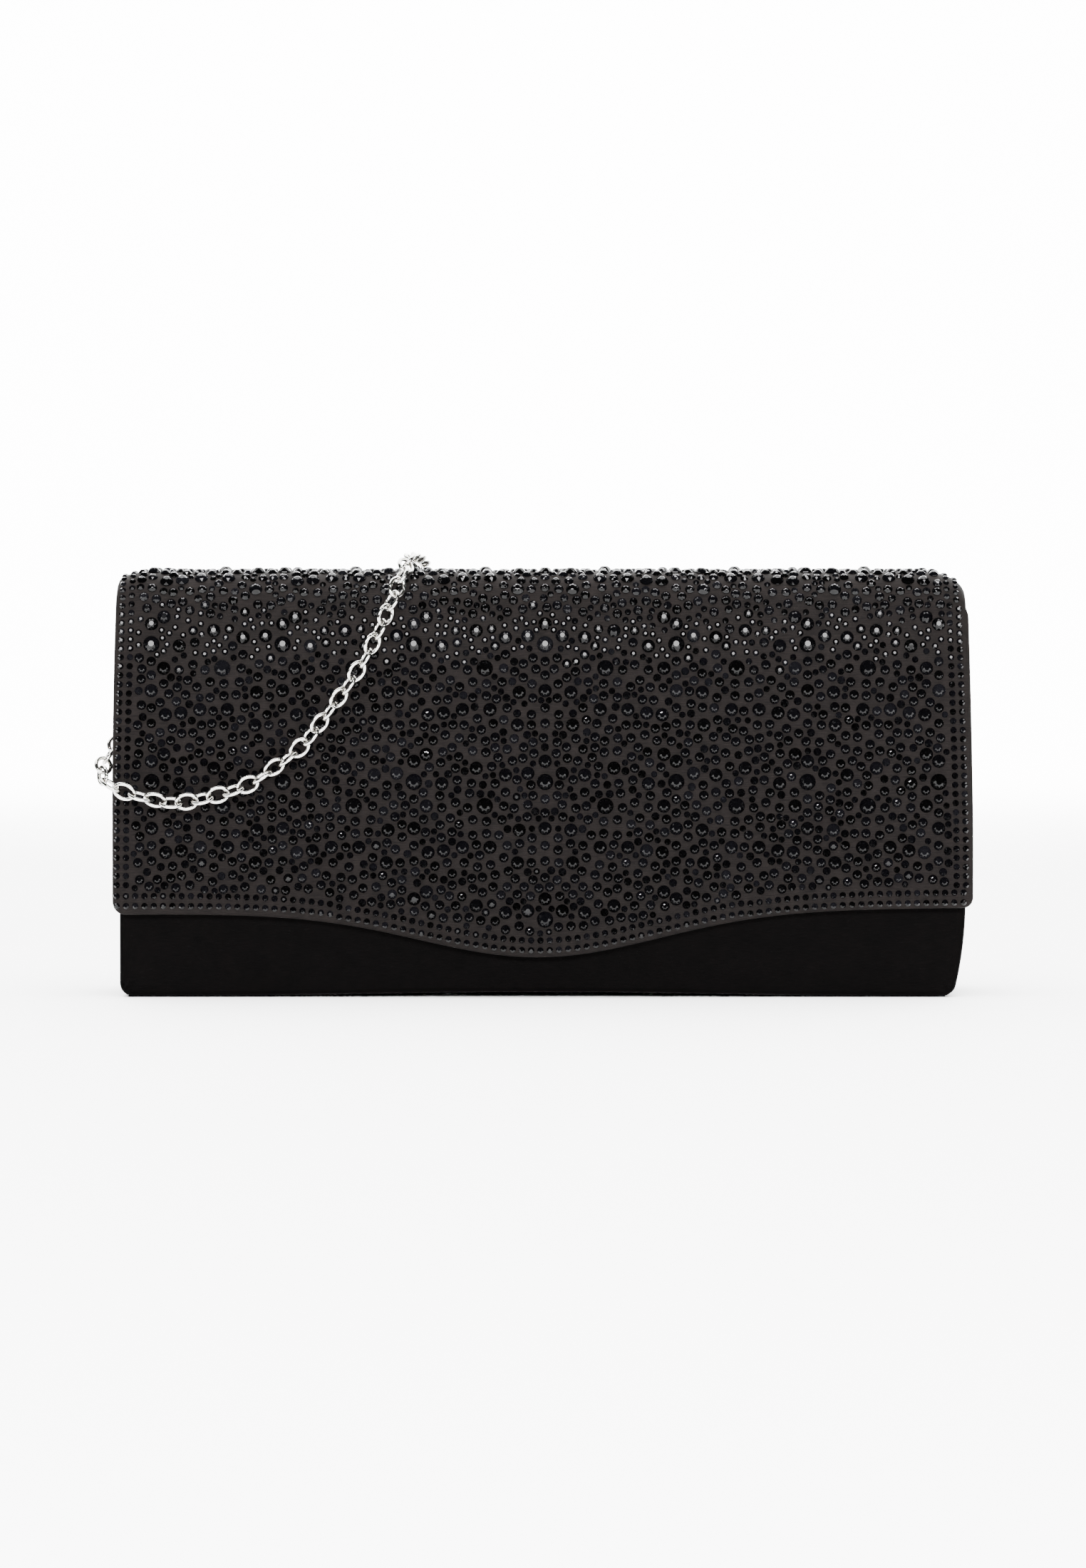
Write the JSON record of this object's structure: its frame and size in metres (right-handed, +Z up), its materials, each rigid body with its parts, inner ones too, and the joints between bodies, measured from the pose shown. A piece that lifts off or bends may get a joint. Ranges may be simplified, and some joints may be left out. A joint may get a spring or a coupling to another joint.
{
  "type": "evening bag",
  "caption": "Envelope evening bag with a crystal-covered flap that hinges over a box body with folding gussets, a magnetic snap and a silver shoulder chain.",
  "frame": {"origin": "on the table, under the middle of the bag", "axes": "+X to the right as the front is seen, -Y towards the front, +Z up"},
  "size_m": [0.2557, 0.1162, 0.1312],
  "materials": {
    "flap_satin": "charcoal satin with a fine horizontal grain",
    "body_satin": "black satin",
    "lining": "dark lining satin",
    "board": "grey stiffening board",
    "crystal": "jet black faceted glass",
    "silver": "polished silver plating"
  },
  "bodies": {
    "body": {"back_cover": "body_satin", "back_board": "board", "back_lining": "lining", "slip_pocket": "lining", "base_cover": "body_satin", "base_board": "board", "base_lining": "lining", "left_gusset": "body_satin", "right_gusset": "body_satin", "left_gusset_lining": "lining", "right_gusset_lining": "lining", "hinge_satin": "flap_satin", "hinge_lining": "lining", "left_ring_tab": "body_satin", "right_ring_tab": "body_satin", "chain_rear": "silver", "chain_coil": "silver", "chain_end": "silver"},
    "front_panel": {"front_cover": "body_satin", "front_board": "board", "front_lining": "lining", "snap_socket": "silver", "snap_socket_plate": "silver"},
    "flap": {"flap_cover": "flap_satin", "flap_board": "board", "flap_lining": "lining", "snap_stud": "silver", "snap_stud_plate": "silver", "border_crystals": "crystal", "large_crystals": "crystal", "medium_crystals": "crystal", "chain_front": "silver"},
    "left_ring": {"left_ring": "silver"},
    "right_ring": {"right_ring": "silver"}
  },
  "joints": [
    {"name": "flap_hinge", "type": "hinge", "parent": "body", "child": "flap", "pos_m": [0, 0.0249, 0.1222], "axis": [-1, 0, 0], "range_deg": [0, 135]},
    {"name": "mouth", "type": "hinge", "parent": "body", "child": "front_panel", "pos_m": [0, -0.0201, 0.0003], "axis": [1, 0, 0], "range_deg": [0, 7]},
    {"name": "left_ring_turn", "type": "hinge", "parent": "body", "child": "left_ring", "pos_m": [-0.117, 0.0249, 0.1222], "axis": [-1, 0, 0], "range_deg": [0, 135]},
    {"name": "right_ring_turn", "type": "hinge", "parent": "body", "child": "right_ring", "pos_m": [0.117, 0.0249, 0.1222], "axis": [1, 0, 0], "range_deg": [0, 20]}
  ],
  "couplings": [
    {"joint": "mouth", "follows": "flap_hinge", "ratio": 0.05185},
    {"joint": "left_ring_turn", "follows": "flap_hinge", "ratio": 1}
  ]
}
